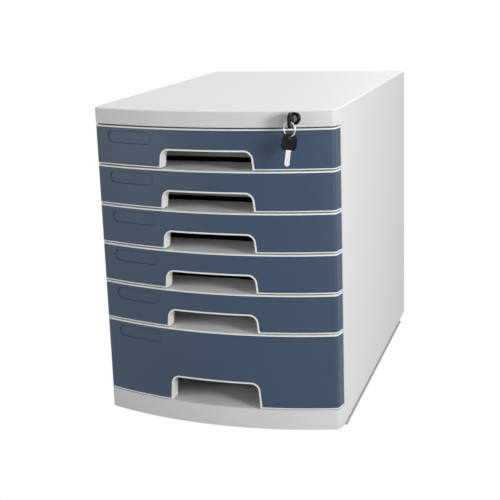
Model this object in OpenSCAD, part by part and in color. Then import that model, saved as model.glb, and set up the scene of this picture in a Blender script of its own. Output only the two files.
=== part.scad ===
// Desktop file drawer: a lockable cabinet with five shallow drawers over a deep one.
// Millimetres. +Z is up, the bowed front faces -Y, and the origin is the middle of
// the plinth's footprint, on its underside.

/* [Cabinet] */
// Width over the side panels
cab_w = 290; // [270:1:320]
// Depth of the straight side panels
body_d = 409; // [380:1:450]
// Thickness of the outer mouldings
shell_t = 2.8; // [2.2:0.1:3.2]
// Height of the plinth
base_h = 24; // [20:0.5:32]
// Height of the top cover and its front rail
cover_h = 18.2; // [17.5:0.1:24]
// Thickness of the top plate
cover_plate_t = 2.2; // [1.6:0.1:2.6]
// Proud height of the foot pads
foot_h = 1; // [0.6:0.1:2]
// Radius of the foot pads
foot_r = 9; // [6:0.5:12]

/* [Bowed front] */
// How far the middle of the front bows out past its corners
bow_sag = 22.5; // [15:0.5:28]
// Depth of the short side returns of the front
return_d = 14.5; // [11:0.5:20]
// How far each return leans in on its way to the front
return_in = 3.4; // [2:0.1:5]
// Rounding of the two front corners
corner_r = 6; // [4:0.5:9]

/* [Drawers] */
// Front height of a shallow drawer
shallow_h = 45; // [42:0.5:60]
// Front height of the deep drawer
deep_h = 89; // [80:0.5:130]
// Gap between one drawer front and the next
front_gap = 1.8; // [1.2:0.1:3]
// Gap between the deep drawer and the plinth
plinth_gap = 1; // [0.6:0.1:2]
// Thickness of the coloured front panels
panel_t = 2; // [1.6:0.1:2.4]
// Thickness of the front frame's walls
frame_t = 2; // [1.6:0.1:2.6]
// Thickness of the ledge on top of each front
ledge_t = 1.8; // [1.4:0.1:2.4]
// Height of the lip below each front panel
lip_h = 1.2; // [0.8:0.1:2]
// Wall and floor thickness of the trays
tray_t = 2; // [1.6:0.1:2.6]
// Distance from a side panel's inner face to the tray's wall
tray_side = 11.2; // [10:0.1:16]
// Distance from the side panels' front edge to the tray
tray_set = 22; // [20:0.5:23]
// How far the tray's underside is above the front's lower edge
tray_lift = 4; // [3:0.5:6]
// How far the tray's rim is below the top of the front
rim_drop = 3; // [2.5:0.1:5]

/* [Finger notch] */
// Half width of the notch at its foot
notch_foot = 54.5; // [45:0.5:60]
// Half width of the notch at its top
notch_top = 52; // [42:0.5:58]
// Height of the notch in a shallow drawer
notch_h = 20; // [17:0.5:22]
// Height of the notch in the deep drawer
deep_notch_h = 29; // [24:0.5:36]
// Radius of the notch's upper corners
notch_r = 9; // [6:0.5:11]
// Width of the rim around the notch
rim_t = 1.8; // [1.4:0.1:2.4]
// Depth of the notch's lining, from the middle of the front
lining_d = 17; // [12:0.5:20]

/* [Label recess] */
// Length of the label recess
label_w = 60; // [40:1:64]
// Height of the label recess
label_h = 13.6; // [10:0.1:15]
// Depth of the label recess
label_deep = 1; // [0.5:0.1:1.2]
// Distance of the recess's middle from the cabinet's left side
label_in = 50; // [48:0.5:53]
// Distance of the recess's middle below the top of the front
label_drop = 12.6; // [11:0.1:14]

/* [Runners] */
// Thickness of the tray's rim
rim_h = 1.8; // [1.4:0.1:2.4]
// Thickness of the runner below the rim
runner_t = 2; // [1.6:0.1:2.6]
// Thickness of the guide above the rim
guide_t = 1.2; // [1:0.1:1.4]
// Free play between the rim and its runner
run_gap = 0.3; // [0.2:0.05:0.5]
// Distance from the tray's rear edge to its stop lugs, which sets the travel
lug_in = 14.9; // [10:0.1:40]

/* [Lock and keys] */
// Distance of the lock from the cabinet's right side
lock_in = 45; // [41:0.5:55]
// Height of the lock's axis above the front rail's lower edge
lock_up = 9.6; // [9:0.1:9.8]
// Radius of the lock's black head
lock_head_r = 7; // [6.6:0.1:7.6]
// Radius of the lock's barrel
barrel_r = 5.5; // [5:0.1:5.8]
// Radius of the turning plug
plug_r = 3.9; // [3.6:0.1:4.2]
// Radius at which the cam's pin stands
pin_orbit = 5; // [4.6:0.1:5.2]
// Length of a key's bow
bow_len = 18; // [16:0.5:20]
// Width of a key's bow
bow_w = 17; // [15:0.5:18]
// Thickness of a key's bow
bow_t = 2.8; // [2.4:0.1:3.2]
// Length of a key's blade outside its bow
blade_len = 17.5; // [14:0.5:18]
// Width of a key's blade
blade_w = 6; // [5:0.1:6.2]
// Diameter of the key ring, at the middle of its wire
ring_d = 15.6; // [14:0.2:18]
// Thickness of the key ring's wire
wire_d = 1.2; // [0.9:0.1:1.4]

/* [Hidden] */

// Colours, as they look in plain light
SHELL = [0.86, 0.86, 0.86];
FRAME = [0.80, 0.80, 0.79];
BLUE = [0.31, 0.37, 0.45];
BLACK = [0.07, 0.07, 0.08];
STEEL = [0.75, 0.76, 0.78];
ZINC = [0.62, 0.63, 0.64];

SMOOTH = 48;          // facets of small rounds in the preview
WIDE = 720;           // facets of the bowed front in the preview
CORNER_FLATS = 6;     // flats that round each corner of the bowed front
NOTCH_FLATS = 8;      // flats that round each upper corner of a finger notch
BOW_FLATS = 6;        // flats that round each corner of a key's bow
EPS = 0.5;            // overrun of a cut past the face it opens

// The plan of the bowed front
half_w = cab_w / 2;
nose_d = bow_sag + return_d;
front_y = nose_d - (body_d + nose_d) / 2;
nose_y = front_y - nose_d;
back_y = front_y + body_d;
arc_half = half_w - return_in;
arc_r = (arc_half * arc_half + bow_sag * bow_sag) / (2 * bow_sag);
arc_cy = nose_y + arc_r;
inner_x = half_w - shell_t;
label_x = half_w - label_in;

// Heights: drawer 1 is the top one, drawer 6 the deep one
SHALLOW = 5;
DEEP = SHALLOW + 1;
pitch = shallow_h + front_gap;
deep_top = base_h + plinth_gap + deep_h;
cover_z = deep_top + SHALLOW * pitch + front_gap;
top_z = cover_z + cover_h;
function front_h(n) = n == DEEP ? deep_h : shallow_h;
function front_top(n) = deep_top + (DEEP - n) * pitch;
function front_foot(n) = front_top(n) - front_h(n);
function notch_height(n) = n == DEEP ? deep_notch_h : notch_h;

// Drawer frame and tray
edge_gap = 0.8;                       // between a front and the side panels' edges
panel_fit = 0.1;                      // between a panel and the frame around it
panel_skin = 0.2;                     // how far the panels lie behind the frames' rims
panel_back = panel_skin + panel_t;
wall_in = panel_back + panel_fit;     // front of the frame's wall, behind the panel
wall_back = wall_in + frame_t;
wall_root = wall_in + frame_t / 2;    // where lips and bosses start in the wall
rear_gap = 5;                         // between the trays and the back panel
tray_x = inner_x - tray_side;
tray_y = front_y + tray_set;
tray_end = back_y - shell_t - rear_gap;
ledge_in = 47;                        // from the tray's side to the ledge that reaches it
ledge_root = 2;                       // how far that ledge overlaps the front's own ledge
boss_out = 18;                        // from the notch's rim to a screw boss
boss_x = notch_foot + rim_t + boss_out;
boss_r = 4;
boss_z = 24;
boss_step = 42;
screw_r = 1.5;
screw_fit = 0.05;
screw_play = 0.2;
screw_head_r = 3;
screw_head_t = 2;
screw_len = 9;
screw_tip = 1;                        // left free below a screw in its hole
cross_l = 3.4;
cross_w = 0.7;
cross_deep = 0.9;

// Locking bar, upright in front of the trays' right-hand sides
slide_gap = 0.3;
bar_t = 2;
bar_w = 8;
bar_gap = 1;                          // from the bar and its hooks to the trays
bar_y = tray_y - bar_gap - bar_w;
bar_x = inner_x - bar_t - slide_gap;
hook_gap = 1;                         // from a tray's wall to a hook, seen from the front
hook_d = 5;
hook_h = 2.8;
hook_drop = 1.2;                      // from the tray's underside to an open hook
catch_w = 5.5;                        // the ear on each tray that its hook holds
catch_d = 3;
catch_h = 8;

// Runners and stops
rim_play = 3;
rim_x = bar_x - rim_play;
runner_out = 1.5;                     // from the tray's wall to the runner
runner_x = tray_x + runner_out;
stop_set = 30;
stop_y = front_y + stop_set;
stop_t = 6;
stop_h = 6.4;
lug_w = 5.5;
lug_x = tray_x + lug_w;
lug_y = tray_end - lug_in;            // a drawer travels until this meets its stop
runner_y = stop_y - EPS;
function rim_z(n) = front_top(n) - rim_drop - rim_h;
guide_z = rim_z(1) + rim_h + run_gap;  // the top flange also guides drawer 1

// Lock, measured along its axis from the seat that is cut flat in the front rail
lock_x = half_w - lock_in;
lock_z = cover_z + lock_up;
bore_fit = 0.05;
bore_play = 0.1;
seat_play = 0.4;
seat_cut = 0.1;
seat_y = nose_arc_y(lock_x + lock_head_r + seat_play) + seat_cut;
lock_boss_w = 1.4;                    // wall of the boss around the lock
lock_boss_len = 11.5;
head_t = 4.2;
barrel_len = 26.4;
barrel_end = seat_y + barrel_len;
clip_t = 1.2;
clip_w = 16;
clip_low = 2.4;
clip_high = 4;
plug_out = 0.3;
plug_past = 1;
plug_end = barrel_end + plug_past;
key_play = 0.15;
tang_w = 4;
tang_len = 2.3;
tang_end = plug_end + tang_len - screw_play;
cam_t = 1.5;
cam_r = 4.2;
cam_y = plug_end + screw_play;
cam_end_r = 1.9;
cam_screw_r = 0.95;
cam_screw_len = 3;
cam_head_r = 3.1;
cam_head_t = 1.5;
cam_slot_t = 0.7;
cam_slot_w = 0.8;
pin_r = 1.1;
pin_past = 1;
cam_rest = -45;
arm_y = bar_y;
arm_t = 2;
arm_half = 2.4;
arm_end = 2;
slot_play = 0.3;
bar_foot = 3;                         // bar below its lowest hook
guide_h = 6;
guide_up = 12;
guide_w = 3.5;
guide_d = 2.2;

// Keys: the blade enters the plug along +Y, and the bow stands upright
blade_t = 1.8;
blade_in = 5;                         // length of the blade inside its bow
blade_fit = 0.05;
tip_len = 2.1;
tip_h = 1;
cuts = 5;
cut_deep = 0.9;
cut_foot = 0.3;
cut_half = 1.1;
cut_first = 4.5;
cut_step = 2.6;
bow_heel_r = 4;
bow_nose_r = 7;
shank = 2.6;
bow_y = seat_y - head_t - shank;
ring_hole_r = 2.2;
ring_hole_in = 4.5;
hole_y = bow_y - bow_len + ring_hole_in;
ring_r = ring_d / 2;
ring_play = 0.5;                      // between a hole's edge and the wire through it
ring_seat = ring_hole_r - wire_d / 2 - ring_play;
ring_turn = -25;
ring_z = lock_z - ring_seat;
spare_hole_z = ring_z - ring_d - ring_seat;
spare_turn = 35;
spare_tilt = 8;

// Casing screws, back screws and foot pads
flange_w = 10;
flange_t = 2.5;
flange_set = 2;
root = 1;                             // how far ribs and rails run into a wall
case_screw_front = 32;
case_screw_back = 24;
case_screw_x = inner_x - flange_w / 2;
case_screw_y = [front_y + case_screw_front, front_y + body_d / 2, back_y - case_screw_back];
case_boss_r = 4;
case_boss_end = 3;                    // solid end of a boss past its screw hole
case_screw_len = 9;
back_screw_in = 30;
back_screw_z = [base_h + back_screw_in, (base_h + cover_z) / 2, cover_z - back_screw_in];
back_lip = 9;
back_edge = inner_x - screw_play;
back_rib_in = 4;
back_rib_t = 3;
back_rib_h = 2;
foot_in = 32;
foot_boss_w = 3;
pad_seat = 1;
deck_t = 2.4;
plinth_rib = 3;
rib_front = 2;

// ---------------------------------------------------------------- helpers

function unit(v) = v / norm(v);

// Y of the bowed face at a distance x from the middle
function nose_arc_y(x, inset = 0) =
    arc_cy - sqrt((arc_r - inset) * (arc_r - inset) - x * x);

// Points on an arc about c, from angle a to angle b
function arc_points(c, r, a, b, count) =
    [for (i = [0:count]) let (t = a + (b - a) * i / count) c + r * [cos(t), sin(t)]];

// Corner between the right-hand return and the bowed face, rounded in short flats;
// the last flat runs on past the bow, so that the two cross at a clear angle
function corner_points(inset) =
    let (
        r = max(corner_r - inset, 1),
        big = arc_r - inset,
        o = [0, arc_cy],
        p = [arc_half - inset, nose_arc_y(arc_half - inset, inset)],
        u = unit([half_w - inset, front_y] - p),
        n = [-u[1], u[0]],
        q = p + n * r - o,
        along = -(u * q) - sqrt(pow(u * q, 2) - (q * q - pow(big - r, 2))),
        c = p + n * r + u * along,
        out = c - o,
        pts = arc_points(c, r, atan2(-n[1], -n[0]), atan2(out[1], out[0]), CORNER_FLATS),
        last = pts[CORNER_FLATS]
    ) concat(
        [for (i = [0:CORNER_FLATS - 1]) pts[i]],
        [last + unit(last - pts[CORNER_FLATS - 1]) * 2]);

function mirrored(pts) = [for (i = [len(pts) - 1:-1:0]) [-pts[i][0], pts[i][1]]];

// Plan of the bowed front, moved in by inset, from the bow back to y = end
module nose_plan(inset, end) {
    side = half_w - inset;
    corner = corner_points(inset);
    start = end > front_y ? [[side, end], [side, front_y]] :
        [[side - (front_y - end) / (front_y - corner[0][1]) * (side - corner[0][0]), end]];
    right = concat(start, corner, [[corner[CORNER_FLATS][0], nose_y - 5]]);
    intersection() {
        translate([0, arc_cy]) circle(r = arc_r - inset, $fn = WIDE);
        polygon(concat(right, mirrored(right)));
    }
}

// A slab of that plan between two heights
module nose_slab(inset, low, high, end) {
    translate([0, 0, low]) linear_extrude(high - low) nose_plan(inset, end);
}

// A box between two corners
module block(low, high) {
    translate(low) cube(high - low);
}

// A round bar along Y
module bar_along_y(x, z, from, to, r) {
    translate([x, to, z]) rotate([90, 0, 0]) cylinder(h = to - from, r = r, $fn = SMOOTH);
}

// An outline in X and Z, drawn out along Y
module profile_along_y(from, to) {
    translate([0, to, 0]) rotate([90, 0, 0]) linear_extrude(to - from) children();
}

// Outline of the finger notch with its foot at 0, wider by grow all round
module notch_outline(height, grow) {
    foot = [notch_foot + grow, 0];
    crown = [notch_top + grow, height + grow];
    r = notch_r + grow;
    u = unit(foot - crown);
    half = acos(u * [-1, 0]) / 2;
    c = crown + unit(u + [-1, 0]) * r / sin(half);
    right = concat([[foot[0], -EPS], foot],
                   arc_points(c, r, atan2(u[0], -u[1]), 90, NOTCH_FLATS));
    polygon(concat(right, mirrored(right)));
}

// A stadium-shaped outline
module stadium(length, height) {
    square([length - height, height], center = true);
    for (s = [-1, 1])
        translate([s * (length - height) / 2, 0]) circle(d = height, $fn = SMOOTH);
}

// A pan-head screw whose head rests at the origin, with its shank along -Z
module screw(len) {
    translate([0, 0, -len]) cylinder(h = len + screw_play, r = screw_r, $fn = SMOOTH);
    difference() {
        cylinder(h = screw_head_t, r = screw_head_r, $fn = SMOOTH);
        for (a = [0, 90]) rotate(a)
            translate([-cross_l / 2, -cross_w / 2, screw_head_t - cross_deep])
                cube([cross_l, cross_w, cross_deep + EPS]);
    }
}

// ---------------------------------------------------------------- casing

module top_cover() {
    color(SHELL)
    difference() {
        union() {
            nose_slab(0, top_z - cover_plate_t, top_z, back_y);
            difference() {
                nose_slab(0, cover_z, top_z, back_y);
                difference() {
                    nose_slab(shell_t, cover_z - EPS, top_z - cover_plate_t, back_y + EPS);
                    block([-cab_w, back_y - shell_t, cover_z - EPS],
                          [cab_w, back_y + EPS, top_z]);
                }
            }
            for (s = [-1, 1], y = case_screw_y)
                translate([s * case_screw_x, y, cover_z])
                    cylinder(h = cover_h - cover_plate_t / 2, r = case_boss_r, $fn = SMOOTH);
            intersection() {
                bar_along_y(lock_x, lock_z, nose_y, seat_y + lock_boss_len,
                            lock_head_r + lock_boss_w);
                nose_slab(0, cover_z, top_z, back_y);
            }
        }
        bar_along_y(lock_x, lock_z, nose_y - EPS, seat_y, lock_head_r + screw_play);
        bar_along_y(lock_x, lock_z, nose_y, seat_y + lock_boss_len + EPS, barrel_r + bore_play);
        for (s = [-1, 1], y = case_screw_y)
            translate([s * case_screw_x, y, cover_z - EPS])
                cylinder(h = case_screw_len + EPS, r = screw_r + screw_fit, $fn = SMOOTH);
    }
}

// Everything a side panel carries, drawn on the right-hand side
module side_panel() {
    difference() {
        union() {
            block([inner_x, front_y, base_h], [half_w, back_y, cover_z]);
            for (z = [[base_h, base_h + flange_t], [guide_z, cover_z]])
                block([inner_x - flange_w, front_y + flange_set, z[0]],
                      [half_w - root, back_y - shell_t, z[1]]);
            block([inner_x - back_lip, back_y - 2 * shell_t, base_h],
                  [half_w - root, back_y - shell_t, cover_z]);
            for (n = [1:DEEP]) {
                block([runner_x, runner_y, rim_z(n) - run_gap - runner_t],
                      [half_w - root, back_y - shell_t, rim_z(n) - run_gap]);
                if (n > 1) block([runner_x, runner_y, rim_z(n) + rim_h + run_gap],
                      [half_w - root, back_y - shell_t, rim_z(n) + rim_h + run_gap + guide_t]);
                block([runner_x, stop_y, rim_z(n) - run_gap - stop_h],
                      [half_w - root, stop_y + stop_t, rim_z(n) - run_gap]);
            }
        }
        for (z = [base_h - EPS, cover_z - flange_t - EPS], y = case_screw_y)
            translate([case_screw_x, y, z])
                cylinder(h = flange_t + 2 * EPS, r = screw_r + screw_play, $fn = SMOOTH);
        for (y = case_screw_y)
            translate([case_screw_x, y, guide_z - EPS])
                cylinder(h = cover_z - flange_t - guide_z + EPS,
                         r = screw_head_r + screw_play, $fn = SMOOTH);
        for (z = back_screw_z)
            bar_along_y(inner_x - back_lip / 2, z, back_y - 2 * shell_t - EPS,
                        back_y - shell_t + EPS, screw_r + screw_fit);
        for (z = [[base_h - EPS, base_h + flange_t + EPS], [guide_z - EPS, cover_z + EPS]])
            block([inner_x - flange_w - EPS, bar_y - bar_t, z[0]],
                  [inner_x, bar_y + bar_w + bar_t, z[1]]);
    }
}

module side_panel_right() {
    color(SHELL) side_panel();
}

module side_panel_left() {
    color(SHELL) mirror([1, 0, 0]) side_panel();
}

module back_panel() {
    color(SHELL)
    difference() {
        union() {
            block([-back_edge, back_y - shell_t, base_h], [back_edge, back_y, cover_z]);
            for (z = back_screw_z)
                block([-back_edge + back_lip + back_rib_in, back_y - shell_t - back_rib_t,
                       z - back_rib_h / 2],
                      [back_edge - back_lip - back_rib_in, back_y - shell_t,
                       z + back_rib_h / 2]);
        }
        for (s = [-1, 1], z = back_screw_z) {
            bar_along_y(s * (inner_x - back_lip / 2), z, back_y - shell_t - EPS,
                        back_y + EPS, screw_r + screw_play);
            bar_along_y(s * (inner_x - back_lip / 2), z, back_y - screw_head_t,
                        back_y + EPS, screw_head_r + screw_play);
        }
    }
}

module back_screws() {
    color(STEEL)
    for (s = [-1, 1], z = back_screw_z)
        translate([s * (inner_x - back_lip / 2), back_y - screw_head_t, z])
            rotate([-90, 0, 0]) screw(2 * shell_t);
}

module base_plinth() {
    color(SHELL)
    difference() {
        union() {
            difference() {
                nose_slab(0, 0, base_h, back_y);
                difference() {
                    nose_slab(shell_t, -EPS, base_h - deck_t, back_y + EPS);
                    block([-cab_w, back_y - shell_t, -EPS], [cab_w, back_y + EPS, base_h]);
                }
            }
            block([-plinth_rib / 2, nose_y + rib_front, 0],
                  [plinth_rib / 2, back_y - root, base_h - root]);
            block([-half_w + root, -plinth_rib / 2, 0],
                  [half_w - root, plinth_rib / 2, base_h - root]);
            cylinder(h = base_h - root, r = foot_r + foot_boss_w, $fn = SMOOTH);
            foot_places() cylinder(h = base_h - root, r = foot_r + foot_boss_w, $fn = SMOOTH);
            for (s = [-1, 1], y = case_screw_y)
                translate([s * case_screw_x, y, base_h - case_screw_len - case_boss_end])
                    cylinder(h = case_screw_len + case_boss_end, r = case_boss_r,
                             $fn = SMOOTH);
        }
        foot_places() translate([0, 0, -EPS])
            cylinder(h = pad_seat + EPS, r = foot_r + screw_play, $fn = SMOOTH);
        for (s = [-1, 1], y = case_screw_y)
            translate([s * case_screw_x, y, base_h - case_screw_len])
                cylinder(h = case_screw_len + EPS, r = screw_r + screw_fit, $fn = SMOOTH);
    }
}

// The four corners of the plinth where the pads sit
module foot_places() {
    for (s = [-1, 1], y = [front_y + foot_in, back_y - foot_in])
        translate([s * (half_w - foot_in), y, 0]) children();
}

module foot_pads() {
    color(BLACK)
    foot_places() translate([0, 0, -foot_h])
        cylinder(h = foot_h + pad_seat, r = foot_r, $fn = SMOOTH);
}

// Screws that hold the side panels' flanges to the plinth and to the cover
module casing_screws() {
    color(STEEL)
    for (s = [-1, 1], y = case_screw_y) {
        translate([s * case_screw_x, y, base_h + flange_t])
            screw(flange_t + case_screw_len - screw_tip);
        translate([s * case_screw_x, y, cover_z - flange_t]) mirror([0, 0, 1])
            screw(flange_t + case_screw_len - screw_tip);
    }
}

// ---------------------------------------------------------------- lock and keys

module lock_body() {
    color(BLACK)
    difference() {
        union() {
            bar_along_y(lock_x, lock_z, seat_y - head_t, seat_y, lock_head_r);
            bar_along_y(lock_x, lock_z, seat_y - head_t / 2, barrel_end, barrel_r);
        }
        bar_along_y(lock_x, lock_z, seat_y - head_t - EPS, barrel_end + EPS,
                    plug_r + bore_fit);
    }
}

// Horseshoe clip that holds the barrel behind the front rail
module lock_clip() {
    y = seat_y + lock_boss_len;
    color(ZINC)
    difference() {
        block([lock_x - clip_w / 2, y, lock_z - barrel_r - clip_low],
              [lock_x + clip_w / 2, y + clip_t, lock_z + clip_high]);
        bar_along_y(lock_x, lock_z, y - EPS, y + clip_t + EPS, barrel_r + bore_play);
        block([lock_x - barrel_r - bore_play, y - EPS, lock_z],
              [lock_x + barrel_r + bore_play, y + clip_t + EPS, lock_z + clip_high + EPS]);
    }
}

module lock_plug() {
    color(STEEL)
    difference() {
        union() {
            bar_along_y(lock_x, lock_z, seat_y - head_t - plug_out, plug_end, plug_r);
            block([lock_x - tang_w / 2, plug_end - root, lock_z - tang_w / 2],
                  [lock_x + tang_w / 2, tang_end, lock_z + tang_w / 2]);
        }
        block([lock_x - blade_t / 2 - key_play, seat_y - head_t - plug_out - EPS,
               lock_z - blade_w / 2 - key_play],
              [lock_x + blade_t / 2 + key_play, bow_y + blade_len + EPS,
               lock_z + blade_w / 2 + key_play]);
        bar_along_y(lock_x, lock_z, plug_end - cam_screw_len - root,
                    plug_end + tang_len + EPS, cam_screw_r + screw_fit);
    }
}

// Cam on the plug's tang, with the pin that lifts the bar
module lock_cam() {
    a = cam_rest;
    tip = [lock_x + pin_orbit * cos(a), lock_z + pin_orbit * sin(a)];
    color(ZINC)
    difference() {
        union() {
            bar_along_y(lock_x, lock_z, cam_y, cam_y + cam_t, cam_r);
            bar_along_y(tip[0], tip[1], cam_y, cam_y + cam_t, cam_end_r);
            bar_along_y(tip[0], tip[1], cam_y + cam_t / 2, arm_y + arm_t + pin_past, pin_r);
        }
        block([lock_x - tang_w / 2 - bore_play, cam_y - EPS, lock_z - tang_w / 2 - bore_play],
              [lock_x + tang_w / 2 + bore_play, cam_y + cam_t + EPS,
               lock_z + tang_w / 2 + bore_play]);
    }
}

module cam_screw() {
    color(STEEL) {
        bar_along_y(lock_x, lock_z, plug_end - cam_screw_len, tang_end + EPS, cam_screw_r);
        difference() {
            bar_along_y(lock_x, lock_z, tang_end, tang_end + cam_head_t, cam_head_r);
            block([lock_x - cam_head_r - EPS, tang_end + cam_head_t - cam_slot_t,
                   lock_z - cam_slot_w / 2],
                  [lock_x + cam_head_r + EPS, tang_end + cam_head_t + EPS,
                   lock_z + cam_slot_w / 2]);
        }
    }
}

// A key's blade, tip at +X, bow side at 0, flat on the XY plane
module blade_shape() {
    half = blade_w / 2;
    linear_extrude(blade_t) difference() {
        union() {
            translate([-blade_in, -half]) square([blade_in + blade_len - tip_len, blade_w]);
            polygon([[blade_len - tip_len, -half], [blade_len, -tip_h],
                     [blade_len, tip_h], [blade_len - tip_len, half]]);
        }
        for (i = [0:cuts - 1]) translate([blade_len - cut_first - i * cut_step, half])
            polygon([[-cut_half, bore_play], [-cut_foot, -cut_deep],
                     [cut_foot, -cut_deep], [cut_half, bore_play]]);
    }
}

// A key's bow, blade side at 0, ring end at -X, flat on the XY plane
module bow_shape() {
    heel = bow_heel_r;
    nose = bow_nose_r;
    y = bow_w / 2;
    difference() {
        linear_extrude(bow_t) polygon(concat(
            arc_points([-heel, heel - y], heel, -90, 0, BOW_FLATS),
            arc_points([-heel, y - heel], heel, 0, 90, BOW_FLATS),
            arc_points([nose - bow_len, y - nose], nose, 90, 180, BOW_FLATS),
            arc_points([nose - bow_len, nose - y], nose, 180, 270, BOW_FLATS)));
        translate([-bow_len + ring_hole_in, 0, -EPS])
            cylinder(h = bow_t + 2 * EPS, r = ring_hole_r, $fn = SMOOTH);
        translate([-blade_in - screw_play, -blade_w / 2 - blade_fit,
                   (bow_t - blade_t) / 2 - blade_fit])
            cube([blade_in + screw_play + EPS, blade_w + 2 * blade_fit,
                  blade_t + 2 * blade_fit]);
    }
}

// Puts a key in the lock: blade along +Y, flat sides facing left and right
module in_lock(t) {
    translate([lock_x + t / 2, bow_y, lock_z]) rotate([0, -90, 0]) rotate([0, 0, 90])
        children();
}

// Hangs a key from the ring, blade down and a little to the left, its flat side turned
// to the right-hand front
module hanging(t) {
    translate([lock_x, hole_y, spare_hole_z]) rotate([0, spare_tilt, spare_turn])
        translate([0, t / 2, -bow_len + ring_hole_in]) rotate([90, 0, 0]) rotate([0, 0, -90])
            children();
}

module key_blade() {
    color(STEEL) in_lock(blade_t) blade_shape();
}

module key_bow() {
    color(BLACK) in_lock(bow_t) bow_shape();
}

module spare_key_blade() {
    color(STEEL) hanging(blade_t) blade_shape();
}

module spare_key_bow() {
    color(BLACK) hanging(bow_t) bow_shape();
}

module key_ring() {
    color(STEEL)
    translate([lock_x, hole_y, ring_z - ring_r]) rotate(ring_turn) rotate([90, 0, 0])
        rotate_extrude($fn = 96) translate([ring_r, 0]) circle(d = wire_d, $fn = 16);
}

// Upright bar, and the arm by which the cam's pin lifts it
module locking_bar() {
    low = hook_z(DEEP) - bar_foot;
    slot_z = lock_z + pin_orbit * sin(cam_rest);
    slot_from = lock_x + pin_orbit * cos(cam_rest) - pin_r - slot_play;
    slot_to = lock_x + pin_orbit + pin_r + slot_play;
    slot_h = 2 * (pin_r + slot_play);
    color(ZINC)
    difference() {
        union() {
            block([bar_x, bar_y, max(low, base_h + hook_drop / 2)],
                  [bar_x + bar_t, bar_y + bar_w, slot_z + arm_half]);
            block([slot_from - arm_end, arm_y, slot_z - arm_half],
                  [bar_x + bar_t, arm_y + arm_t, slot_z + arm_half]);
        }
        block([slot_from, arm_y - EPS, slot_z - slot_h / 2],
              [slot_to, arm_y + arm_t + EPS, slot_z + slot_h / 2]);
    }
}

// Lower side of a hook while the lock is open
function hook_z(n) = front_foot(n) + tray_lift - hook_drop - hook_h;

// One hook per drawer, welded to the bar's inner face. Open, each lies below the ear on
// its tray. Lifted, it stands in front of that ear.
module bar_hooks() {
    color(ZINC)
    for (n = [1:DEEP])
        block([tray_x + hook_gap, bar_y + bar_w - hook_d, hook_z(n)],
              [bar_x, bar_y + bar_w, hook_z(n) + hook_h]);
}

module bar_guides() {
    color(FRAME)
    for (n = [1, 3, DEEP]) {
        z = front_foot(n) + guide_up;
        difference() {
            block([bar_x - guide_d, bar_y - guide_w, z],
                  [inner_x, bar_y + bar_w + guide_w, z + guide_h]);
            block([bar_x - slide_gap, bar_y - slide_gap, z - EPS],
                  [inner_x + EPS, bar_y + bar_w + slide_gap, z + guide_h + EPS]);
        }
    }
}

// ---------------------------------------------------------------- drawers

// Places of the screws that join a frame to its tray, as [x, height over the foot]
function boss_places(n) =
    [for (row = [0:(n == DEEP ? 1 : 0)], s = [-1, 1]) [s * boss_x, boss_z + row * boss_step]];

module drawer_frame(n) {
    foot = front_foot(n);
    top = front_top(n);
    end = front_y - edge_gap;
    color(FRAME)
    difference() {
        union() {
            // the wall behind the coloured panel
            difference() {
                nose_slab(wall_in, foot, top, end);
                nose_slab(wall_back, foot - EPS, top - ledge_t, end + EPS);
            }
            // the ledge on top, back to the tray
            nose_slab(0, top - ledge_t, top, end);
            block([-tray_x + ledge_in, end - ledge_root, top - ledge_t],
                  [tray_x - ledge_in, tray_y, top]);
            // the lip below the panel
            difference() {
                nose_slab(0, foot, foot + lip_h, end);
                nose_slab(wall_root, foot - EPS, foot + lip_h + EPS, end + EPS);
            }
            // the lining of the finger notch
            intersection() {
                nose_slab(0, foot, top, end);
                translate([0, 0, foot]) profile_along_y(nose_y - EPS, nose_y + lining_d)
                    notch_outline(notch_height(n), rim_t);
            }
            // bosses that reach back to the tray
            for (b = boss_places(n))
                bar_along_y(b[0], foot + b[1],
                            nose_arc_y(b[0]) + wall_root, tray_y, boss_r);
        }
        translate([0, 0, foot]) profile_along_y(nose_y - EPS, nose_y + lining_d + EPS)
            notch_outline(notch_height(n), 0);
        for (b = boss_places(n))
            bar_along_y(b[0], foot + b[1], tray_y - screw_len, tray_y + EPS,
                        screw_r + screw_fit);
    }
}

module drawer_panel(n) {
    low = front_foot(n) + lip_h + panel_fit;
    high = front_top(n) - ledge_t - panel_fit;
    end = front_y - edge_gap;
    color(BLUE)
    difference() {
        nose_slab(panel_skin, low, high, end);
        nose_slab(panel_back, low - EPS, high + EPS, end + EPS);
        translate([0, 0, front_foot(n)]) profile_along_y(nose_y - EPS, nose_y + lining_d + EPS)
            notch_outline(notch_height(n), rim_t + panel_fit);
        difference() {
            translate([-label_x, 0, front_top(n) - label_drop])
                profile_along_y(nose_y - EPS, front_y - return_d) stadium(label_w, label_h);
            nose_slab(panel_skin + label_deep, low - EPS, high + EPS, end + EPS);
        }
    }
}

module drawer_tray(n) {
    foot = front_foot(n) + tray_lift;
    rim = rim_z(n) + rim_h;
    color(FRAME)
    difference() {
        union() {
            difference() {
                block([-tray_x, tray_y, foot], [tray_x, tray_end, rim]);
                block([-tray_x + tray_t, tray_y + tray_t, foot + tray_t],
                      [tray_x - tray_t, tray_end - tray_t, rim + EPS]);
            }
            for (m = [0, 1]) mirror([m, 0, 0]) {
                block([tray_x - root, tray_y, rim_z(n)], [rim_x, tray_end, rim]);
                block([tray_x - root, lug_y, rim_z(n) - stop_h],
                      [lug_x, lug_y + stop_t, rim_z(n) - run_gap - runner_t - slide_gap]);
            }
            block([tray_x - root, tray_y, foot],
                  [tray_x + catch_w, tray_y + catch_d, foot + catch_h]);
        }
        for (b = boss_places(n))
            bar_along_y(b[0], front_foot(n) + b[1], tray_y - EPS, tray_y + tray_t + EPS,
                        screw_r + screw_play);
    }
}

module frame_screws(n) {
    color(STEEL)
    for (b = boss_places(n))
        translate([b[0], tray_y + tray_t, front_foot(n) + b[1]])
            rotate([-90, 0, 0]) screw(tray_t + screw_len - screw_tip);
}

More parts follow.
